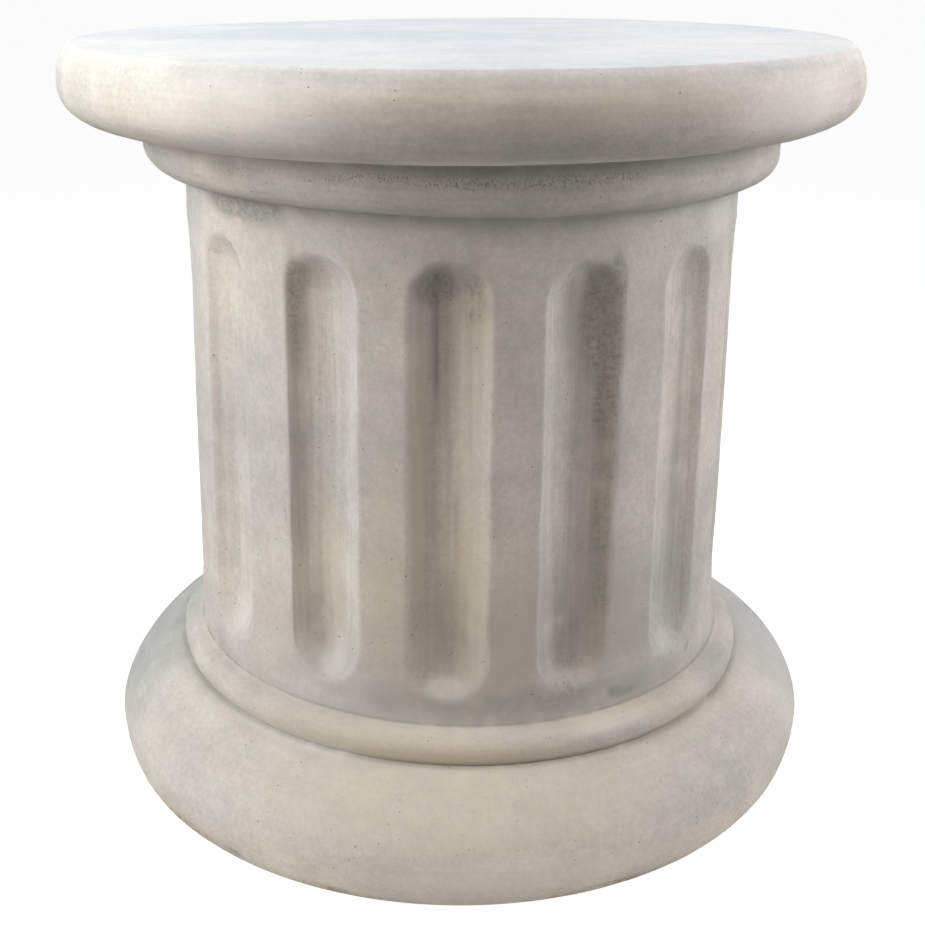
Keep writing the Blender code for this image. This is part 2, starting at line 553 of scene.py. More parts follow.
MARKS = (
    Mark(MarkKind.DENT, -4.6, 0.3220, 0.0036, 0.0520, 0.0019),
    Mark(MarkKind.DENT, -4.8, 0.2200, 0.0060, 0.0950, 0.0006),
    Mark(MarkKind.DENT, -7.8, 0.2600, 0.0050, 0.1150, -0.0020),
    Mark(MarkKind.DENT, 28.4, 0.3050, 0.0075, 0.0800, 0.0016),
    Mark(MarkKind.DENT, 22.4, 0.3560, 0.0065, 0.0150, -0.0012),
    Mark(MarkKind.DENT, -6.5, 0.3640, 0.0070, 0.0100, -0.0010),
    Mark(MarkKind.DENT, 2.0, 0.1600, 0.0030, 0.0350, 0.0008),
    Mark(MarkKind.DENT, -58.0, 0.0925, 0.0022, 0.0075, 0.0020, -35.0),
    Mark(MarkKind.DENT, 57.5, 0.0985, 0.0024, 0.0070, 0.0022, 35.0),
    Mark(MarkKind.DENT, 86.0, 0.0755, 0.0020, 0.0110, 0.0010, 10.0),
    Mark(MarkKind.DENT, 22.6, 0.3975, 0.0040, 0.0016, 0.0010, 30.0),
    Mark(MarkKind.DENT, -35.0, 0.0080, 0.0060, 0.0050, 0.0030),
    Mark(MarkKind.DENT, -18.0, 0.0060, 0.0120, 0.0035, 0.0016),
    Mark(MarkKind.DENT, 24.0, 0.0060, 0.0130, 0.0040, 0.0016),
    Mark(MarkKind.DENT, -47.0, 0.0090, 0.0100, 0.0040, 0.0012),
    Mark(MarkKind.DENT, 11.1, 0.4785, 0.0050, 0.0022, 0.0008),
    Mark(MarkKind.DENT, -18.6, 0.4788, 0.0045, 0.0020, 0.0007),
    Mark(MarkKind.DENT, 34.0, 0.4787, 0.0040, 0.0020, 0.0007),
    Mark(MarkKind.DENT, 128.0, 0.0120, 0.0120, 0.0050, 0.0018),
    Mark(MarkKind.DENT, -150.0, 0.4780, 0.0060, 0.0025, 0.0010),
    Mark(MarkKind.STAIN_AND_SHADE, -42.0, 0.3945, 0.0520, 0.0150, 1.00),
    Mark(MarkKind.STAIN_AND_SHADE, -50.0, 0.3945, 0.0300, 0.0120, 0.70),
    Mark(MarkKind.STAIN_AND_SHADE, -45.5, 0.3950, 0.0280, 0.0100, 1.00),
    Mark(MarkKind.STAIN_AND_SHADE, -60.0, 0.4310, 0.0320, 0.0060, 0.45),
    Mark(MarkKind.STAIN_AND_SHADE, -38.0, 0.4200, 0.0300, 0.0110, 0.60),
    # The dark band on the neck's front just under the cap: dirt and painted shade.
    Mark(MarkKind.STAIN_AND_SHADE, 6.0, 0.4285, 0.1500, 0.0055, 0.70),
    Mark(MarkKind.STAIN_AND_SHADE, -16.0, 0.3965, 0.0800, 0.0080, 0.50),
    Mark(MarkKind.STAIN_AND_SHADE, -5.5, 0.3610, 0.0170, 0.0170, 1.00),
    Mark(MarkKind.STAIN_AND_SHADE, -3.6, 0.3560, 0.0120, 0.0200, 0.60),
    Mark(MarkKind.STAIN_AND_SHADE, -3.6, 0.3250, 0.0085, 0.0620, 0.85),
    Mark(MarkKind.STAIN_AND_SHADE, 2.2, 0.3560, 0.0180, 0.0280, 1.00),
    Mark(MarkKind.STAIN_AND_SHADE, 2.6, 0.3000, 0.0110, 0.0900, 0.28),
    Mark(MarkKind.STAIN_AND_SHADE, -8.0, 0.2600, 0.0080, 0.1100, 0.25),
    Mark(MarkKind.STAIN_AND_SHADE, 27.6, 0.3500, 0.0150, 0.0340, 1.00),
    Mark(MarkKind.STAIN_AND_SHADE, 29.6, 0.3560, 0.0095, 0.0260, 0.90),
    Mark(MarkKind.STAIN_AND_SHADE, 28.8, 0.3100, 0.0085, 0.0500, 0.60),
    Mark(MarkKind.STAIN_AND_SHADE, 27.6, 0.3270, 0.0165, 0.0640, 1.00),
    Mark(MarkKind.STAIN_AND_SHADE, 22.0, 0.3330, 0.0120, 0.0400, 0.50),
    Mark(MarkKind.STAIN_AND_SHADE, 29.0, 0.2500, 0.0100, 0.1500, 1.00),
    Mark(MarkKind.STAIN_AND_SHADE, -32.2, 0.3420, 0.0080, 0.0500, 1.00),
    Mark(MarkKind.STAIN_AND_SHADE, -32.6, 0.3500, 0.0065, 0.0260, 0.80),
    Mark(MarkKind.STAIN_AND_SHADE, -29.5, 0.3600, 0.0150, 0.0150, 0.60),
    Mark(MarkKind.STAIN_AND_SHADE, -32.5, 0.2400, 0.0060, 0.1200, 0.60),
    Mark(MarkKind.STAIN_AND_SHADE, -29.5, 0.1500, 0.0120, 0.0480, 0.60),
    Mark(MarkKind.STAIN_AND_SHADE, -1.0, 0.1500, 0.0150, 0.0500, 0.50),
    Mark(MarkKind.STAIN_AND_SHADE, 22.5, 0.1350, 0.0150, 0.0400, 0.55),
    Mark(MarkKind.STAIN_AND_SHADE, 52.0, 0.2300, 0.0080, 0.1300, 0.55),
    Mark(MarkKind.STAIN_AND_SHADE, 51.0, 0.3500, 0.0060, 0.0200, 0.50),
    Mark(MarkKind.STAIN_AND_SHADE, 12.0, 0.1050, 0.0900, 0.0160, 0.55),
    Mark(MarkKind.STAIN_AND_SHADE, 22.0, 0.1450, 0.1100, 0.0600, 0.34),
    Mark(MarkKind.STAIN_AND_SHADE, -30.0, 0.1300, 0.0900, 0.0450, 0.16),
    Mark(MarkKind.STAIN_AND_SHADE, -13.0, 0.1080, 0.0500, 0.0150, 0.35),
    Mark(MarkKind.STAIN_AND_SHADE, 34.5, 0.1000, 0.0180, 0.0050, 0.70, 8.0),
    Mark(MarkKind.STAIN_AND_SHADE, 56.3, 0.1065, 0.0040, 0.0070, 0.90, 35.0),
    Mark(MarkKind.STAIN_AND_SHADE, -35.0, 0.0080, 0.0070, 0.0045, 1.00),
    # Thin dark lines along the foot's lower edge: painted contact shadow.
    Mark(MarkKind.STAIN_AND_SHADE, -30.0, 0.0025, 0.1500, 0.0022, 0.80),
    Mark(MarkKind.STAIN_AND_SHADE, 26.0, 0.0025, 0.1200, 0.0022, 0.80),
    Mark(MarkKind.STAIN_AND_SHADE, 41.0, 0.1030, 0.0700, 0.0110, 0.40, 4.0),
    Mark(MarkKind.STAIN_AND_SHADE, -60.0, 0.0990, 0.0200, 0.0080, 0.35),
    Mark(MarkKind.STAIN_AND_SHADE, 150.0, 0.3900, 0.0600, 0.0120, 0.70),
    Mark(MarkKind.STAIN_AND_SHADE, -90.0, 0.0550, 0.1100, 0.0450, 0.20),
    Mark(MarkKind.STAIN_AND_SHADE, 92.0, 0.0550, 0.1000, 0.0450, 0.18),
    Mark(MarkKind.STAIN_AND_SHADE, -88.0, 0.4550, 0.0900, 0.0350, 0.14),
    Mark(MarkKind.STAIN_AND_SHADE, -140.0, 0.3950, 0.0450, 0.0100, 0.60),
    Mark(MarkKind.TAN, 3.4, 0.3300, 0.0130, 0.0700, 0.22),
    Mark(MarkKind.TAN, -7.6, 0.2600, 0.0060, 0.1200, 0.70),
    Mark(MarkKind.TAN, 2.0, 0.1900, 0.0150, 0.0900, 0.42),
    Mark(MarkKind.TAN, -14.0, 0.1950, 0.0160, 0.0900, 0.45),
    Mark(MarkKind.TAN, -27.0, 0.1800, 0.0180, 0.0800, 0.40),
    Mark(MarkKind.TAN, 47.0, 0.0800, 0.0450, 0.0060, 0.85, 3.0),
    Mark(MarkKind.TAN, 32.0, 0.0900, 0.0800, 0.0060, 0.70),
    Mark(MarkKind.TAN, 0.0, 0.0600, 0.2000, 0.0320, 0.65),
    Mark(MarkKind.TAN, -12.0, 0.0840, 0.1500, 0.0130, 0.70),
    Mark(MarkKind.TAN, 10.0, 0.1500, 0.1500, 0.0800, 0.35),
    Mark(MarkKind.TAN, 24.0, 0.4600, 0.0900, 0.0180, 0.30),
    Mark(MarkKind.TAN, 12.0, 0.4740, 0.1700, 0.0070, 0.35),
    Mark(MarkKind.TAN, -48.0, 0.0130, 0.0700, 0.0100, 0.55),
    Mark(MarkKind.TAN, 8.0, 0.4620, 0.1600, 0.0140, 0.30),
    Mark(MarkKind.TAN, 3.2, 0.3450, 0.0100, 0.0200, 0.60),
    Mark(MarkKind.PITS, -38.0, 0.4205, 0.0230, 0.0085, 1.00),
    Mark(MarkKind.PITS, -43.0, 0.3955, 0.0420, 0.0110, 1.00),
    Mark(MarkKind.PITS, -32.5, 0.3430, 0.0050, 0.0200, 0.70),
    Mark(MarkKind.PITS, 2.6, 0.3530, 0.0110, 0.0180, 0.50),
    Mark(MarkKind.SPECKS, -14.0, 0.4222, 0.0420, 0.0026, 0.90, -3.0),
    Mark(MarkKind.SPECKS, 0.0, 0.4212, 0.0480, 0.0026, 1.00),
    Mark(MarkKind.SPECKS, 15.0, 0.4212, 0.0480, 0.0026, 1.00),
    Mark(MarkKind.SPECKS, 26.0, 0.4216, 0.0300, 0.0024, 0.70),
    Mark(MarkKind.RAW, -46.0, 0.0090, 0.0600, 0.0090, 1.00),
    Mark(MarkKind.RAW, 25.0, 0.0050, 0.0850, 0.0070, 1.00),
    Mark(MarkKind.RAW, -18.0, 0.0050, 0.0600, 0.0060, 0.90),
    # Lightens the foot's lower front: painted bounce light from the table.
    Mark(MarkKind.PALE, 8.0, 0.0250, 0.1300, 0.0160, 0.55),
    Mark(MarkKind.PALE, 30.0, 0.0890, 0.0450, 0.0055, 0.50),
    # Lightens the crease between the foot and the ring on the left, where light falls: painted
    # light.
    Mark(MarkKind.PALE, -34.0, 0.0735, 0.1000, 0.0030, 0.85),
    Mark(MarkKind.PALE, 60.0, 0.3860, 0.0300, 0.0200, 0.45),
    Mark(MarkKind.PALE, 0.0, 0.4815, 3.0000, 0.0060, 0.30),
    Mark(MarkKind.PALE, -27.0, 0.4560, 0.0900, 0.0300, 0.50),
    Mark(MarkKind.PALE, 46.0, 0.4560, 0.0700, 0.0250, 0.60),
    Mark(MarkKind.PALE, 85.0, 0.0450, 0.1200, 0.0500, 0.40),
    Mark(MarkKind.GREYER, 22.0, 0.1450, 0.1500, 0.0800, 0.95),
    Mark(MarkKind.GREYER, -90.0, 0.4550, 0.1300, 0.0400, 0.95),
    Mark(MarkKind.GREYER, 64.0, 0.0850, 0.0450, 0.0140, 0.80),
    Mark(MarkKind.GREYER, 92.0, 0.0550, 0.1100, 0.0450, 0.75),
    Mark(MarkKind.GREYER, 92.0, 0.4550, 0.0900, 0.0350, 0.70),
    Mark(MarkKind.GREYER, -62.0, 0.4200, 0.0500, 0.0140, 0.50),
    # Darkens the middle of the cap's underside at the front: painted shade.
    Mark(MarkKind.GREYER, 4.0, 0.4530, 0.1500, 0.0160, 1.00),
    Mark(MarkKind.GREYER, 10.0, 0.4760, 0.2400, 0.0060, 1.00),
    # Lightens the cap's underside just above the neck: painted bounce light.
    Mark(MarkKind.PALE, 5.0, 0.4335, 0.1800, 0.0050, 0.60),
    Mark(MarkKind.GREYER, -88.0, 0.0550, 0.1300, 0.0450, 0.75),
    Mark(MarkKind.GREYER, 45.0, 0.0500, 0.1100, 0.0350, 0.50),
    Mark(MarkKind.GREYER, -70.0, 0.3850, 0.0500, 0.0400, 0.50),
    # Pale scoops at the flutes' lower ends: painted highlight where top light falls.
    Mark(MarkKind.PALE, -53.0, 0.1270, 0.0150, 0.0220, 0.45),
    Mark(MarkKind.PALE, -26.0, 0.1190, 0.0150, 0.0120, 0.30),
    Mark(MarkKind.PALE, -24.0, 0.1320, 0.0080, 0.0160, 0.40),
    Mark(MarkKind.PALE, -2.0, 0.1155, 0.0170, 0.0095, 0.55),
    Mark(MarkKind.PALE, 23.7, 0.1170, 0.0170, 0.0070, 0.45),
    Mark(MarkKind.PALE, 49.0, 0.1170, 0.0140, 0.0100, 0.45),
)


@dataclass
class Casting:
    """The whole pedestal as one sculpted shell."""

    form: Mouldings = field(default_factory=Mouldings)
    flutes: Flutes = field(default_factory=Flutes)
    marks: tuple[Mark, ...] = MARKS
    shaft_shift_foot: float = -0.0022
    shaft_shift_head: float = 0.0010
    ring_tilt: float = 1.2
    shaft_tilt: float = 0.7
    rim_droop: float = 0.0022
    lump_height: float = 0.00045
    ripple_height: float = 0.00016
    streak_height: float = 0.0003
    droop_azimuth: float = -148.0
    droop_spread: float = 42.0
    heavy_dirt: tuple[float, float] = (0.9, 1.4)

    def turn_shell(self) -> bmesh.types.BMesh:
        """Spin the outline about the Z axis into a closed shell.

        Returns:
            The shell, with its normals outward and its faces smooth.
        """
        shell = bmesh.new()
        rows = [shell.verts.new((0.0, -radius, height)) for radius, height in self.form.outline()]
        edges = [shell.edges.new(pair) for pair in zip(rows, rows[1:])]
        bmesh.ops.spin(shell, geom=rows + edges, cent=(0.0, 0.0, 0.0), axis=(0.0, 0.0, 1.0),
                       dvec=(0.0, 0.0, 0.0), angle=math.tau, steps=self.flutes.columns,
                       use_merge=True, use_normal_flip=False, use_duplicate=False)
        bmesh.ops.remove_doubles(shell, verts=shell.verts[:], dist=WELD_DISTANCE)
        bmesh.ops.recalc_face_normals(shell, faces=shell.faces[:])
        for face in shell.faces:
            face.smooth = True
        return shell

    def read_surface(self, shell: bmesh.types.BMesh) -> Surface:
        """Positions and normals of the shell's points.

        Args:
            shell: the turned shell.

        Returns:
            Its surface, point by point.
        """
        shell.normal_update()
        points = np.array([vert.co for vert in shell.verts])
        normals = np.array([vert.normal for vert in shell.verts])
        return Surface(points, normals)

    def crowd(self, surface: Surface) -> Surface:
        """Turn each column of points about the axis so that more of them follow the rims.

        Args:
            surface: evenly spread points.

        Returns:
            The same points, moved around the axis.
        """
        even = surface.azimuth
        turned = self.flutes.crowd_columns(even)
        shift = turned - even
        cos, sin = np.cos(shift), np.sin(shift)
        points, normals = surface.points.copy(), surface.normals.copy()
        for table, source in ((points, surface.points), (normals, surface.normals)):
            table[:, 0] = source[:, 0] * cos - source[:, 1] * sin
            table[:, 1] = source[:, 0] * sin + source[:, 1] * cos
        return Surface(points, normals)

    def dents(self, surface: Surface) -> np.ndarray:
        """Depth of the chips and nicks at each point.

        Args:
            surface: the points of the turned shell.

        Returns:
            A depth in metres for each point, below 0 where the surface stands up.
        """
        depth = np.zeros_like(surface.height)
        ragged = 0.75 + 0.6 * soft_noise(surface.points, (0.006, 0.006, 0.006), 2, 9.0)
        for mark in self.marks:
            if mark.kind is MarkKind.DENT:
                depth += mark.strength * mark.shares(surface) * np.clip(ragged, 0.2, 1.4)
        return depth

    def unevenness(self, surface: Surface, inside: np.ndarray) -> np.ndarray:
        """Gentle lumps of the mould, and upright ripples on the flutes' floors.

        Args:
            surface: the points of the turned shell.
            inside: how far each point lies inside a flute, from 0 to 1.

        Returns:
            A height in metres for each point, 0 on the flat top and the underside.
        """
        level = smooth_step(0.0012, 0.0060, surface.height)
        level *= 1.0 - smooth_step(self.form.total_height - 0.004, self.form.total_height - 0.0005,
                                   surface.height)
        lumps = self.lump_height * soft_noise(surface.points, (0.09, 0.09, 0.06), 3, 1.0)
        small = self.ripple_height * soft_noise(surface.points, (0.016, 0.016, 0.012), 2, 5.0)
        ripples = self.streak_height * soft_noise(surface.points, (0.009, 0.009, 0.16), 2, 7.0)
        return (lumps + small + ripples * inside) * level

    def warp(self, points: np.ndarray) -> None:
        """Set the shaft and the ring a little askew, and let the top's far left rim sink.

        Args:
            points: the positions, which are changed in place.
        """
        form = self.form
        height = points[:, 2].copy()
        along = np.clip((height - form.shaft_foot) / form.shaft_height, 0.0, 1.0)
        in_shaft = smooth_step(form.ring_crest, form.shaft_foot + 0.020, height)
        in_shaft *= smooth_step(form.cap_foot, form.shaft_head, height)
        shift = self.shaft_shift_foot + (self.shaft_shift_head - self.shaft_shift_foot) * along
        points[:, 0] += shift * in_shaft
        fade_foot = smooth_step(form.foot_lower_height + 0.014, form.foot_top, height)
        fade_cap = smooth_step(form.cap_foot, form.neck_band_foot - 0.006, height)
        tilt = self.ring_tilt + (self.shaft_tilt - self.ring_tilt) * along
        points[:, 2] -= points[:, 0] * np.radians(tilt) * fade_foot * fade_cap
        azimuth = np.arctan2(points[:, 0], -points[:, 1])
        off = np.angle(np.exp(1j * (azimuth - math.radians(self.droop_azimuth))))
        outward = np.hypot(points[:, 0], points[:, 1])
        sink = np.exp(-(off / math.radians(self.droop_spread)) ** 2)
        sink = sink * smooth_step(0.10, 0.235, outward)
        sink *= smooth_step(form.cap_foot, form.total_height, height)
        points[:, 2] -= self.rim_droop * sink

    def mark_layers(self, surface: Surface) -> dict[str, np.ndarray]:
        """Add up the marks of each kind that only colour the surface.

        Args:
            surface: the points of the turned shell.

        Returns:
            One value for each point, by the name of the kind.
        """
        layers = {kind.value: np.zeros_like(surface.height) for kind in MarkKind}
        for mark in self.marks:
            if mark.kind is not MarkKind.DENT:
                layers[mark.kind.value] += mark.strength * mark.shares(surface)
        del layers[MarkKind.DENT.value]
        return layers

    def crevices(self, surface: Surface) -> np.ndarray:
        """Where dirt and painted shade darken the creases: under the cap, at the neck's foot and by
        the ring's two lines.

        Args:
            surface: the points of the turned shell.

        Returns:
            A share from 0 to 1 for each point.
        """
        form = self.form
        # Dirt and painted shade along each crease: its level, its spread and its strength.
        lines = ((form.cap_foot, 0.0060, 0.9), (form.shaft_head, 0.0045, 0.7),
                 (form.shaft_foot + 0.0035, 0.0040, 0.5), (form.foot_top, 0.0022, 0.4))
        dirt_and_shade = np.zeros_like(surface.height)
        for level, spread, strength in lines:
            near = np.exp(-((surface.height - level) / spread) ** 2)
            dirt_and_shade = np.maximum(dirt_and_shade, strength * near)
        over = smooth_step(form.neck_radius + 0.030, form.neck_radius, surface.radius)
        return dirt_and_shade * np.where(surface.height > form.cap_foot + 0.001, over, 1.0)

    def clouds(self, surface: Surface) -> dict[str, np.ndarray]:
        """Slow changes of tone over the stone, and the patchiness of its dirt and painted shade.

        Args:
            surface: the points of the turned shell.

        Returns:
            Values from 0 to 1: how grey each point is, how light, how much dirt it holds, how far
            it is brushed around the column, and its level before the casting was set askew.
        """
        form = self.form
        broad = soft_noise(surface.points, (0.13, 0.13, 0.10), 3, 11.0)
        small = soft_noise(surface.points, (0.024, 0.024, 0.022), 3, 17.0)
        patch = soft_noise(surface.points, (0.013, 0.013, 0.016), 2, 23.0)
        on_top = smooth_step(form.total_height - 0.004, form.total_height - 0.001, surface.height)
        on_shaft = smooth_step(form.shaft_foot - 0.002, form.shaft_foot + 0.006, surface.height)
        on_shaft *= smooth_step(form.shaft_head + 0.002, form.shaft_head - 0.004, surface.height)
        below_shaft = smooth_step(form.shaft_foot + 0.004, form.foot_top, surface.height)
        off_shaft = below_shaft + 0.6 * smooth_step(form.cap_foot, form.cap_crest, surface.height)
        return {"grey": 0.5 + 0.55 * broad - 0.25 * off_shaft,
                "cloud": 0.5 + 0.75 * small * (1.0 - 0.45 * on_top),
                "patch": smooth_step(-1.10, 0.20, patch),
                "brushed": (1.0 - 0.85 * on_shaft) * (1.0 - 0.5 * below_shaft),
                "level": surface.height / form.total_height}

    def build(self) -> bpy.types.Object:
        """Sculpt the shell and make it a mesh object with its layers.

        Returns:
            The finished object, at the origin and unturned.
        """
        shell = self.turn_shell()
        plain = self.crowd(self.read_surface(shell))
        cut, fluted = self.flutes.depths(plain, self.form)
        points = plain.points.copy()
        outward = plain.points / np.maximum(plain.radius, 1e-6)[:, None]
        points[:, :2] -= outward[:, :2] * cut[:, None]
        height = self.unevenness(plain, fluted["flute"]) - self.dents(plain)
        points += plain.normals * height[:, None]
        layers = self.mark_layers(plain)
        layers["crevice"] = self.crevices(plain)
        layers.update(fluted)
        layers.update(self.clouds(plain))
        layers["grey"] += layers.pop("greyer")
        heavy = smooth_step(*self.heavy_dirt, layers["stain_and_shade"])
        layers["patch"] = np.maximum(layers["patch"], heavy)
        self.warp(points)
        points[:, 2] = np.maximum(points[:, 2], 0.0)
        for vert, point in zip(shell.verts, points.tolist()):
            vert.co = point
        mesh = bpy.data.meshes.new("pedestal_casting")
        shell.to_mesh(mesh)
        shell.free()
        for name, values in layers.items():
            attribute = mesh.attributes.new(name, "FLOAT", "POINT")
            attribute.data.foreach_set("value", np.clip(values, 0.0, 1.0).astype(np.float32))
        piece = bpy.data.objects.new("pedestal_casting", mesh)
        bpy.context.scene.collection.objects.link(piece)
        mesh.validate()
        return piece


class NodeSheet:
    """A material's nodes, made and wired in short calls."""

    def __init__(self, name: str) -> None:
        """Start a material that holds only its output and its shader.

        Args:
            name: the material's name.
        """
        self.material = bpy.data.materials.new(name)
        self.material.use_nodes = True
        self.nodes = self.material.node_tree.nodes
        self.links = self.material.node_tree.links
        self.shader = self.nodes["Principled BSDF"]
        self.coordinates = self.nodes.new("ShaderNodeTexCoord").outputs["Object"]

    def wire(self, source: bpy.types.NodeSocket | float, target: bpy.types.NodeSocket) -> None:
        """Join a socket to a target, or set the target to a plain value.

        Args:
            source: the socket to join, or the plain value.
            target: the input that takes it.
        """
        if isinstance(source, bpy.types.NodeSocket):
            self.links.new(source, target)
        else:
            target.default_value = source

    def layer(self, name: str) -> bpy.types.NodeSocket:
        """A mesh attribute's value.

        Args:
            name: the attribute's name.

        Returns:
            The value at each point.
        """
        node = self.nodes.new("ShaderNodeAttribute")
        node.attribute_name = name
        return node.outputs["Fac"]

    def stretched(self, scale: tuple[float, float, float]) -> bpy.types.NodeSocket:
        """Object coordinates times a scale along each axis.

        Args:
            scale: the factor along X, Y and Z.

        Returns:
            The scaled coordinates.
        """
        node = self.nodes.new("ShaderNodeMapping")
        node.inputs["Scale"].default_value = scale
        self.wire(self.coordinates, node.inputs["Vector"])
        return node.outputs["Vector"]

    def noise(self, scale: tuple[float, float, float], detail: float = 3.0,
              roughness: float = 0.55) -> bpy.types.NodeSocket:
        """Noise from 0 to 1.

        Args:
            scale: how many lumps there are per metre along X, Y and Z.
            detail: how many finer layers are added.
            roughness: how strong those layers are.

        Returns:
            The noise's value.
        """
        node = self.nodes.new("ShaderNodeTexNoise")
        node.inputs["Scale"].default_value = 1.0
        node.inputs["Detail"].default_value = detail
        node.inputs["Roughness"].default_value = roughness
        self.wire(self.stretched(scale), node.inputs["Vector"])
        return node.outputs["Fac"]

    def maths(self, operation: str, first: bpy.types.NodeSocket | float,
              second: bpy.types.NodeSocket | float) -> bpy.types.NodeSocket:
        """One sum of two values.

        Args:
            operation: what is done with them, by Blender's name for it.
            first: the first value.
            second: the second value.

        Returns:
            The result.
        """
        node = self.nodes.new("ShaderNodeMath")
        node.operation = operation
        self.wire(first, node.inputs[0])
        self.wire(second, node.inputs[1])
        return node.outputs["Value"]

    def ramp(self, value: bpy.types.NodeSocket, low: float, high: float, to_low: float = 0.0,
             to_high: float = 1.0) -> bpy.types.NodeSocket:
        """Ease a value from one range to another, clamped at both ends.

        Args:
            value: what is read.
            low: where the range that is read starts.
            high: where it ends.
            to_low: the result at its start.
            to_high: the result at its end.

        Returns:
            The eased value.
        """
        node = self.nodes.new("ShaderNodeMapRange")
        node.interpolation_type = "SMOOTHSTEP"
        for name, number in (("From Min", low), ("From Max", high), ("To Min", to_low),
                             ("To Max", to_high)):
            node.inputs[name].default_value = number
        self.wire(value, node.inputs["Value"])
        return node.outputs["Result"]

    def ridge(self, value: bpy.types.NodeSocket, low: float, crest: float,
              high: float) -> bpy.types.NodeSocket:
        """Rise from 0 to 1 and fall back to 0 around a crest.

        Args:
            value: what is read.
            low: where it starts to rise.
            crest: where it reaches 1.
            high: where it is back at 0.

        Returns:
            The share from 0 to 1.
        """
        return self.maths("MULTIPLY", self.ramp(value, low, crest),
                          self.ramp(value, crest, high, 1.0, 0.0))

    def blend(self, share: bpy.types.NodeSocket, first: bpy.types.NodeSocket | Colour,
              second: bpy.types.NodeSocket | Colour) -> bpy.types.NodeSocket:
        """Mix two colours by a share.

        Args:
            share: 0 for the first colour and 1 for the second.
            first: the first colour.
            second: the second colour.

        Returns:
            The mixed colour.
        """
        node = self.nodes.new("ShaderNodeMix")
        node.data_type = "RGBA"
        self.wire(share, node.inputs[0])
        for colour, socket in ((first, node.inputs[6]), (second, node.inputs[7])):
            self.wire((*colour, 1.0) if isinstance(colour, tuple) else colour, socket)
        return node.outputs[2]

    def product(self, first: bpy.types.NodeSocket,
                second: bpy.types.NodeSocket) -> bpy.types.NodeSocket:
        """Two colours multiplied channel by channel.

        Args:
            first: the first colour.
            second: the second colour.

        Returns:
            Their product.
        """
        node = self.nodes.new("ShaderNodeVectorMath")
        node.operation = "MULTIPLY"
        self.wire(first, node.inputs[0])
        self.wire(second, node.inputs[1])
        return node.outputs["Vector"]

    def scaled(self, colour: bpy.types.NodeSocket,
               tone: bpy.types.NodeSocket) -> bpy.types.NodeSocket:
        """A colour times a tone.

        Args:
            colour: the colour.
            tone: the factor for all its channels.

        Returns:
            The lighter or darker colour.
        """
        node = self.nodes.new("ShaderNodeVectorMath")
        node.operation = "SCALE"
        self.wire(colour, node.inputs["Vector"])
        self.wire(tone, node.inputs["Scale"])
        return node.outputs["Vector"]


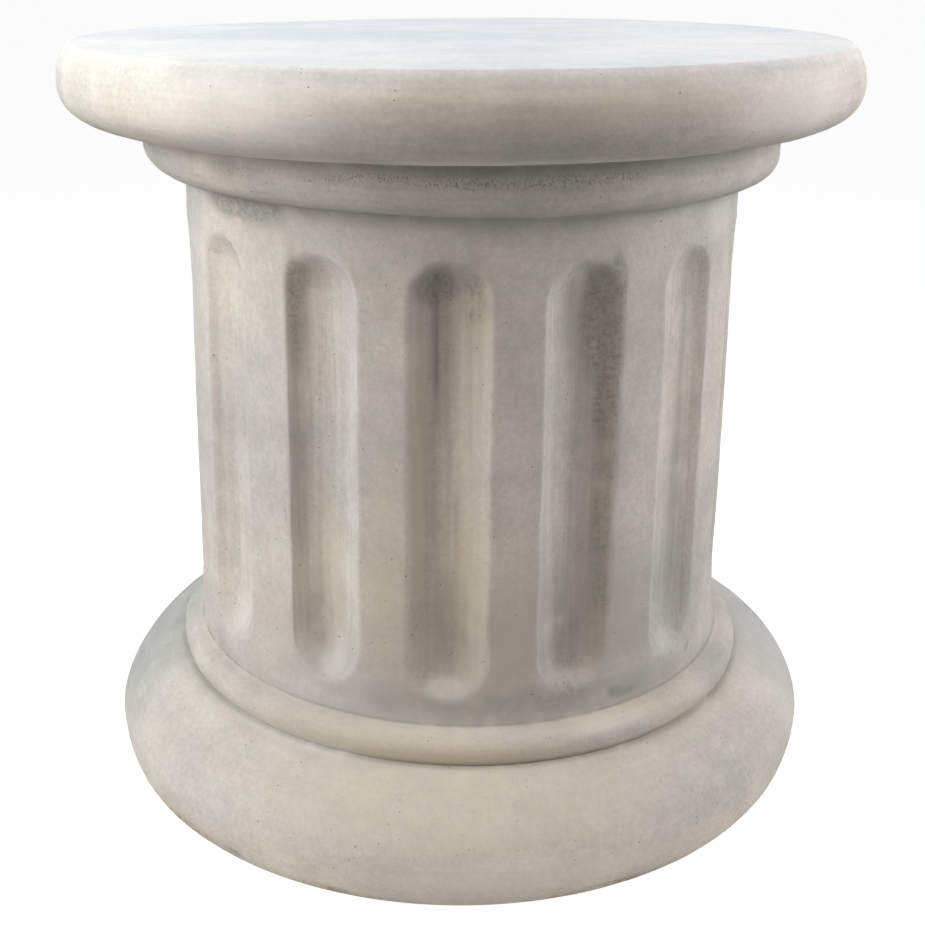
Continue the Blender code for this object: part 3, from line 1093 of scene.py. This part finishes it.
@dataclass(frozen=True)
class AgedStone:
    """Matt off-white casting stone with dirt and painted shade in its hollows, a painted highlight
    along the flutes' rims, patches of painted light, pinholes and a fine grain.
    """

    name: str = "aged_cast_stone"
    cream: Colour = (0.712, 0.655, 0.580)
    grey: Colour = (0.560, 0.540, 0.505)
    # Dark colour of the stains and of the painted shade in the creases and crevices.
    dirt_and_shade: Colour = (0.250, 0.250, 0.215)
    ochre: Colour = (0.640, 0.545, 0.420)
    hole: Colour = (0.110, 0.095, 0.075)
    raw: Colour = (0.420, 0.330, 0.230)
    # Pale colour of the pale marks and of the painted highlight along the flutes' rims.
    chalk: Colour = (0.860, 0.830, 0.780)
    moss: Colour = (0.330, 0.335, 0.270)
    rust: Colour = (0.170, 0.125, 0.090)
    roughness: float = 0.82
    specular: float = 0.32
    fine_lumps: float = 260.0
    grain_lumps: float = 720.0
    pinhole_lumps: float = 640.0
    # How far the painted highlight along the flutes' rims lightens them.
    rim_highlight_strength: float = 0.35
    # How far the pale marks, several of them painted light, lighten the stone.
    pale_strength: float = 0.75
    # How strongly the stains darken, a few of them painted shade.
    stain_and_shade_strength: float = 0.80
    # How strongly the crevices' dirt and painted shade darken them.
    crevice_strength: float = 0.50
    pit_strength: float = 0.75
    speck_strength: float = 0.80
    pinhole_strength: float = 0.80
    skin_height: float = 0.00020
    streak_height: float = 0.00045
    grain_height: float = 0.00006
    rim_height: float = 0.00035
    pinhole_depth: float = 0.0006
    form: Mouldings = field(default_factory=Mouldings)
    flutes: Flutes = field(default_factory=Flutes)

    def build(self) -> bpy.types.Material:
        """Make the material.

        Returns:
            The material, which reads the casting's own layers and its object coordinates.
        """
        sheet = NodeSheet(self.name)
        fine = sheet.noise((self.fine_lumps,) * 3, 3.0, 0.62)
        grain = sheet.noise((self.grain_lumps,) * 3, 1.0, 0.7)
        upright = sheet.noise((190.0, 190.0, 7.0), 2.0, 0.6)
        pinholes = sheet.ramp(sheet.noise((self.pinhole_lumps,) * 3, 0.0), 0.850, 0.872)
        rim = self.rim_bead_and_painted_highlight(sheet)
        colour = self.ground(sheet, fine, grain, upright)
        # Painted highlight: the rims' ridge mixed toward the pale chalk colour.
        colour = sheet.blend(sheet.maths("MULTIPLY", rim, self.rim_highlight_strength), colour, self.chalk)
        colour = self.soiled_and_shaded(sheet, colour, fine, grain)
        colour = self.pitted(sheet, colour, pinholes)
        sheet.wire(colour, sheet.shader.inputs["Base Color"])
        sheet.shader.inputs["Metallic"].default_value = 0.0
        sheet.shader.inputs["Specular IOR Level"].default_value = self.specular
        rough = sheet.ramp(fine, 0.3, 0.7, self.roughness - 0.05, self.roughness + 0.06)
        sheet.wire(rough, sheet.shader.inputs["Roughness"])
        self.relief(sheet, fine, grain, upright, pinholes, rim)
        return sheet.material

    def rim_bead_and_painted_highlight(self, sheet: NodeSheet) -> bpy.types.NodeSocket:
        """The thin ridge along each flute's rim, a raised bump with a painted highlight, broken
        here and there.

        Args:
            sheet: the material's nodes.

        Returns:
            1 on the crest of a sharp rim and 0 away from it.
        """
        per_share = 2 * self.flutes.rim_reach
        ridge = sheet.ridge(sheet.layer("rim"), 0.5 - 0.0012 / per_share, 0.5 + 0.0002 / per_share,
                            0.5 + 0.0030 / per_share)
        broken = sheet.ramp(sheet.noise((45.0, 45.0, 30.0), 1.0), 0.36, 0.60, 0.25, 1.0)
        return sheet.maths("MULTIPLY", ridge, sheet.maths("MULTIPLY", broken, sheet.layer("bead_and_highlight")))

    def ground(self, sheet: NodeSheet, fine: bpy.types.NodeSocket, grain: bpy.types.NodeSocket,
               upright: bpy.types.NodeSocket) -> bpy.types.NodeSocket:
        """Cream and grey clouds, with brush marks along each moulding and a fine grain.

        Args:
            sheet: the material's nodes.
            fine: lumps of about 3 mm.
            grain: lumps of about a millimetre.
            upright: upright streaks.

        Returns:
            The clean stone's colour.
        """
        colour = sheet.blend(sheet.layer("grey"), self.cream, self.grey)
        level = sheet.noise((22.0, 22.0, 300.0), 3.0, 0.60)
        flute = sheet.layer("flute")
        mottle = sheet.maths("MULTIPLY", sheet.maths("ADD", sheet.noise((330.0, 330.0, 330.0), 1.0),
                                                     level), 0.5)
        tinged = sheet.blend(sheet.ramp(mottle, 0.38, 0.62), (0.978, 1.0, 0.982),
                             (1.018, 0.990, 0.996))
        colour = sheet.product(colour, tinged)
        tone = sheet.ramp(sheet.layer("cloud"), 0.0, 1.0, 0.945, 1.055)
        tone = sheet.maths("MULTIPLY", tone, sheet.ramp(fine, 0.34, 0.66, 0.945, 1.040))
        tone = sheet.maths("MULTIPLY", tone, sheet.ramp(grain, 0.32, 0.68, 0.960, 1.030))
        level_tone = sheet.ramp(level, 0.32, 0.68, 0.955, 1.035)
        upright_tone = sheet.ramp(upright, 0.28, 0.72, 0.93, 1.05)
        outside = sheet.maths("SUBTRACT", 1.0, flute)
        brushed = sheet.layer("brushed")
        level_tone = sheet.maths("ADD", sheet.maths("MULTIPLY", level_tone, brushed),
                                 sheet.maths("SUBTRACT", 1.0, brushed))
        streaks = sheet.maths("ADD", sheet.maths("MULTIPLY", upright_tone, flute),
                              sheet.maths("MULTIPLY", level_tone, outside))
        return sheet.scaled(colour, sheet.maths("MULTIPLY", tone, streaks))

    def crease_shade_lines(self, sheet: NodeSheet) -> bpy.types.NodeSocket:
        """The thin lines of painted shade under the cap, under the neck and on each side of the
        ring.

        Args:
            sheet: the material's nodes.

        Returns:
            1 on each line and 0 away from it.
        """
        whole = self.form.total_height
        lines = ((self.form.cap_foot, 0.0012, 0.0012), (self.form.shaft_head, 0.0016, 0.0008),
                 (self.form.shaft_foot + 0.0012, 0.0010, 0.0022),
                 (self.form.foot_top, 0.0009, 0.0014))
        level = sheet.layer("level")
        total: bpy.types.NodeSocket | float = 0.0
        for height, below, above in lines:
            line = sheet.ridge(level, (height - below) / whole, height / whole,
                               (height + above) / whole)
            total = sheet.maths("ADD", total, line)
        return total

    def soiled_and_shaded(self, sheet: NodeSheet, colour: bpy.types.NodeSocket, fine: bpy.types.NodeSocket,
               grain: bpy.types.NodeSocket) -> bpy.types.NodeSocket:
        """Lay the tan washes, the pale scoops and other pale marks (several of them painted light),
        the stains (a few of them painted shade), the raw rim, the dirt and painted shade in the
        crevices, and the painted shade lines of the creases over a colour.

        Args:
            sheet: the material's nodes.
            colour: the clean stone.
            fine: lumps of about 3 mm, which break up each stain.
            grain: lumps of about a millimetre, which speckle it.

        Returns:
            The soiled stone's colour.
        """
        speckle = sheet.maths("MULTIPLY", sheet.ramp(fine, 0.38, 0.62, 0.60),
                              sheet.ramp(grain, 0.36, 0.60, 0.72))
        broken = sheet.maths("MULTIPLY", sheet.layer("patch"), speckle)
        tan = sheet.maths("MULTIPLY", sheet.layer("tan"), sheet.ramp(fine, 0.2, 0.7, 0.45, 0.85))
        colour = sheet.blend(tan, colour, self.ochre)
        # Pale marks; several are painted light: bounce on the foot and the cap's underside, top
        # light on the flutes' scoops.
        pale = sheet.maths("MULTIPLY", sheet.layer("pale"), self.pale_strength)
        colour = sheet.blend(pale, colour, self.chalk)
        # Stains; the ones under the cap and along the foot's lower edge are painted shade.
        stain_and_shade = sheet.maths("MULTIPLY", sheet.layer("stain_and_shade"),
                            sheet.maths("MULTIPLY", broken, self.stain_and_shade_strength))
        colour = sheet.blend(stain_and_shade, colour, self.dirt_and_shade)
        raw = sheet.maths("MULTIPLY", sheet.layer("raw"), sheet.ramp(fine, 0.45, 0.60, 0.1, 0.85))
        colour = sheet.blend(raw, colour, self.raw)
        # Dirt and painted shade in the crevices under the cap, under the neck and by the ring.
        crevice = sheet.maths("MULTIPLY", sheet.layer("crevice"),
                              sheet.maths("MULTIPLY", broken, self.crevice_strength))
        colour = sheet.blend(crevice, colour, self.dirt_and_shade)
        # Painted shade: thin dark lines along the creases, broken by the patches.
        crease = sheet.maths("MULTIPLY", self.crease_shade_lines(sheet),
                             sheet.ramp(sheet.layer("patch"), 0.0, 1.0, 0.10, 0.42))
        return sheet.blend(crease, colour, self.dirt_and_shade)

    def pitted(self, sheet: NodeSheet, colour: bpy.types.NodeSocket,
               pinholes: bpy.types.NodeSocket) -> bpy.types.NodeSocket:
        """Lay the pinholes, the pitted patches and the line of specks over a colour.

        Args:
            sheet: the material's nodes.
            colour: the stone so far.
            pinholes: 1 in each pinhole and 0 elsewhere.

        Returns:
            The pitted stone's colour.
        """
        pitting = sheet.noise((820.0, 820.0, 700.0), 1.0)
        pits = sheet.maths("MULTIPLY", sheet.ramp(pitting, 0.54, 0.66),
                           sheet.maths("MULTIPLY", sheet.layer("pits"), self.pit_strength))
        specks = sheet.maths("MULTIPLY", sheet.ramp(pitting, 0.53, 0.60),
                             sheet.maths("MULTIPLY", sheet.layer("specks"), self.speck_strength))
        colour = sheet.blend(pits, colour, self.moss)
        colour = sheet.blend(specks, colour, self.rust)
        holes = sheet.maths("MULTIPLY", pinholes, self.pinhole_strength)
        return sheet.blend(holes, colour, self.hole)

    def relief(self, sheet: NodeSheet, fine: bpy.types.NodeSocket, grain: bpy.types.NodeSocket,
               upright: bpy.types.NodeSocket, pinholes: bpy.types.NodeSocket,
               rim: bpy.types.NodeSocket) -> None:
        """Bump in metres: skin, grain, streaks in the flutes, pinholes and the flutes' rims.

        Args:
            sheet: the material's nodes.
            fine: lumps of about 3 mm.
            grain: lumps of about a millimetre.
            upright: upright streaks.
            pinholes: 1 in each hole and 0 elsewhere.
            rim: 1 on the crest of a flute's rim and 0 elsewhere.
        """
        skin = sheet.maths("MULTIPLY", fine, self.skin_height)
        streak = sheet.maths("MULTIPLY", upright,
                             sheet.maths("MULTIPLY", sheet.layer("flute"), self.streak_height))
        height = sheet.maths("ADD", sheet.maths("ADD", skin, streak),
                             sheet.maths("MULTIPLY", grain, self.grain_height))
        height = sheet.maths("ADD", height, sheet.maths("MULTIPLY", rim, self.rim_height))
        height = sheet.maths("SUBTRACT", height,
                             sheet.maths("MULTIPLY", pinholes, self.pinhole_depth))
        bump = sheet.nodes.new("ShaderNodeBump")
        bump.inputs["Strength"].default_value = 1.0
        bump.inputs["Distance"].default_value = 1.0
        sheet.wire(height, bump.inputs["Height"])
        sheet.wire(bump.outputs["Normal"], sheet.shader.inputs["Normal"])


@dataclass(frozen=True)
class Softbox:
    """A square soft light that faces the column.

    Azimuth and elevation are in degrees, distance and side in metres, power in watts.
    """

    name: str
    azimuth: float
    elevation: float
    distance: float
    side: float
    power: float
    tint: Colour = (1.0, 1.0, 1.0)

    def build(self, target: Vector) -> bpy.types.Object:
        """Place the light, aimed at a point.

        Args:
            target: the point.

        Returns:
            The light.
        """
        lamp = bpy.data.lights.new(self.name, "AREA")
        lamp.shape = "SQUARE"
        lamp.size = self.side
        lamp.energy = self.power
        lamp.color = self.tint
        turn, rise = math.radians(self.azimuth), math.radians(self.elevation)
        back = Vector((math.sin(turn) * math.cos(rise), -math.cos(turn) * math.cos(rise),
                       math.sin(rise)))
        light = bpy.data.objects.new(self.name, lamp)
        light.location = target + back * self.distance
        light.rotation_euler = back.to_track_quat("Z", "Y").to_euler()
        light.visible_camera = False
        bpy.context.scene.collection.objects.link(light)
        return light


@dataclass
class Studio:
    """A white paper floor and backdrop, and softboxes around the column.

    The paper is there for the camera alone. A small white table sends the softboxes' light back
    up to the casting.
    """

    paper_reach: float = 40.0
    paper_glow: float = 0.96
    paper_colour: Colour = (0.22, 0.22, 0.22)
    table_reach: float = 0.50
    table_colour: Colour = (0.84, 0.81, 0.77)
    table_drop: float = 0.002
    sky_colour: Colour = (0.95, 0.97, 1.0)
    sky_strength: float = 0.03
    target_height: float = 0.46
    softboxes: tuple[Softbox, ...] = (
        Softbox("left_high_softbox", -75.0, 25.0, 1.0, 0.5, 4.8, (0.66, 0.86, 1.0)),
        Softbox("left_front_softbox", -50.0, 25.0, 1.0, 0.5, 2.8, (1.0, 0.84, 0.62)),
        Softbox("left_low_softbox", -50.0, 5.0, 1.0, 0.5, 3.6, (0.98, 0.95, 0.97)),
        Softbox("right_front_softbox", 50.0, 25.0, 1.0, 0.5, 1.5, (1.0, 0.80, 0.78)),
        Softbox("right_high_softbox", 75.0, 25.0, 1.0, 0.5, 2.2, (0.95, 0.96, 0.95)),
        Softbox("right_low_softbox", 75.0, 5.0, 0.95, 0.5, 3.6, (0.90, 0.95, 1.0)),
        Softbox("front_top_softbox", 0.0, 60.0, 1.2, 0.6, 0.8, (1.0, 0.88, 0.76)),
        Softbox("overhead_softbox", 0.0, 88.0, 0.9, 0.8, 7.2, (0.70, 0.81, 1.0)),
        Softbox("back_left_softbox", -150.0, 12.0, 1.0, 0.5, 2.6, (0.92, 0.95, 1.0)),
        Softbox("back_right_softbox", 150.0, 12.0, 1.0, 0.5, 2.6, (0.92, 0.95, 1.0)),
        Softbox("back_high_softbox", 180.0, 20.0, 1.1, 0.6, 1.8, (0.80, 0.88, 1.0)),
    )

    def plain_surface(self, name: str, colour: Colour, glow: float) -> bpy.types.Material:
        """A dull surface that may also glow.

        Args:
            name: the material's name.
            colour: what it reflects.
            glow: how brightly it shines by itself.

        Returns:
            The material.
        """
        material = bpy.data.materials.new(name)
        material.use_nodes = True
        shader = material.node_tree.nodes["Principled BSDF"]
        shader.inputs["Base Color"].default_value = (*colour, 1.0)
        shader.inputs["Roughness"].default_value = 1.0
        shader.inputs["Specular IOR Level"].default_value = 0.0
        shader.inputs["Emission Color"].default_value = (1.0, 1.0, 1.0, 1.0)
        shader.inputs["Emission Strength"].default_value = glow
        return material

    def put(self, name: str, shape: bmesh.types.BMesh,
            material: bpy.types.Material) -> bpy.types.Object:
        """Make a staged object of a shape.

        Args:
            name: the object's name.
            shape: its mesh, which is used up.
            material: what it is made of.

        Returns:
            The object.
        """
        mesh = bpy.data.meshes.new(name)
        shape.to_mesh(mesh)
        shape.free()
        mesh.materials.append(material)
        thing = bpy.data.objects.new(name, mesh)
        bpy.context.scene.collection.objects.link(thing)
        return thing

    def lay_table(self) -> None:
        """The white table, which only the light sees."""
        disc = bmesh.new()
        bmesh.ops.create_circle(disc, cap_ends=True, segments=64, radius=self.table_reach)
        bmesh.ops.translate(disc, verts=disc.verts[:], vec=(0.0, 0.0, -self.table_drop))
        table = self.put("studio_table", disc,
                         self.plain_surface("table_white", self.table_colour, 0.0))
        table.visible_camera = False

    def hang_paper(self) -> None:
        """The white floor and the dome above it, which only the camera sees."""
        disc = bmesh.new()
        bmesh.ops.create_circle(disc, cap_ends=True, segments=96, radius=self.paper_reach)
        dome = bmesh.new()
        bmesh.ops.create_uvsphere(dome, u_segments=64, v_segments=32, radius=self.paper_reach)
        paper = self.plain_surface("studio_paper", self.paper_colour, self.paper_glow)
        for thing in (self.put("studio_floor", disc, paper),
                      self.put("studio_backdrop", dome, paper)):
            thing.visible_diffuse = False
            thing.visible_glossy = False
            thing.visible_transmission = False
            thing.visible_shadow = False

    def light(self) -> None:
        """Set the sky and every softbox."""
        world = bpy.data.worlds.new("studio_sky")
        world.use_nodes = True
        sky = world.node_tree.nodes["Background"]
        sky.inputs["Color"].default_value = (*self.sky_colour, 1.0)
        sky.inputs["Strength"].default_value = self.sky_strength
        bpy.context.scene.world = world
        for softbox in self.softboxes:
            softbox.build(Vector((0.0, 0.0, self.target_height)))


@dataclass(frozen=True)
class Viewpoint:
    """The camera of the photograph, worked out from the ellipses of the mouldings."""

    distance: float = 0.8937
    height: float = 0.5353
    pitch: float = 20.959
    roll: float = 0.159
    yaw: float = 0.098
    focal_pixels: float = 1360.4
    sensor: float = 36.0

    def build(self) -> bpy.types.Object:
        """Place the camera and make it the scene's own.

        Returns:
            The camera.
        """
        data = bpy.data.cameras.new("photo_camera")
        data.sensor_width = self.sensor
        data.lens = self.focal_pixels * self.sensor / PHOTO_SIDE
        data.clip_start = 0.05
        data.clip_end = 200.0
        camera = bpy.data.objects.new("photo_camera", data)
        upright = Euler((math.radians(90.0 - self.pitch), 0.0, -math.radians(self.yaw)), "XYZ")
        turned = upright.to_matrix().to_4x4() @ Matrix.Rotation(math.radians(self.roll), 4, "Z")
        camera.matrix_world = Matrix.Translation((0.0, -self.distance, self.height)) @ turned
        bpy.context.scene.collection.objects.link(camera)
        bpy.context.scene.camera = camera
        return camera


def main() -> None:
    """Build the camera, the casting, its finish and the studio, in that order."""
    logging.basicConfig(level=logging.INFO, format="%(name)s: %(message)s")
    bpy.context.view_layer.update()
    Viewpoint().build()
    piece = Casting().build()
    piece.data.materials.append(AgedStone().build())
    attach(piece, BODY)
    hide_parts(NODE)
    LOG.info("%s: %d points, %d faces", piece.name, len(piece.data.vertices),
             len(piece.data.polygons))
    studio = Studio()
    studio.lay_table()
    studio.hang_paper()
    studio.light()
    bpy.context.scene.view_settings.view_transform = "Standard"


if __name__ == "__main__":
    main()
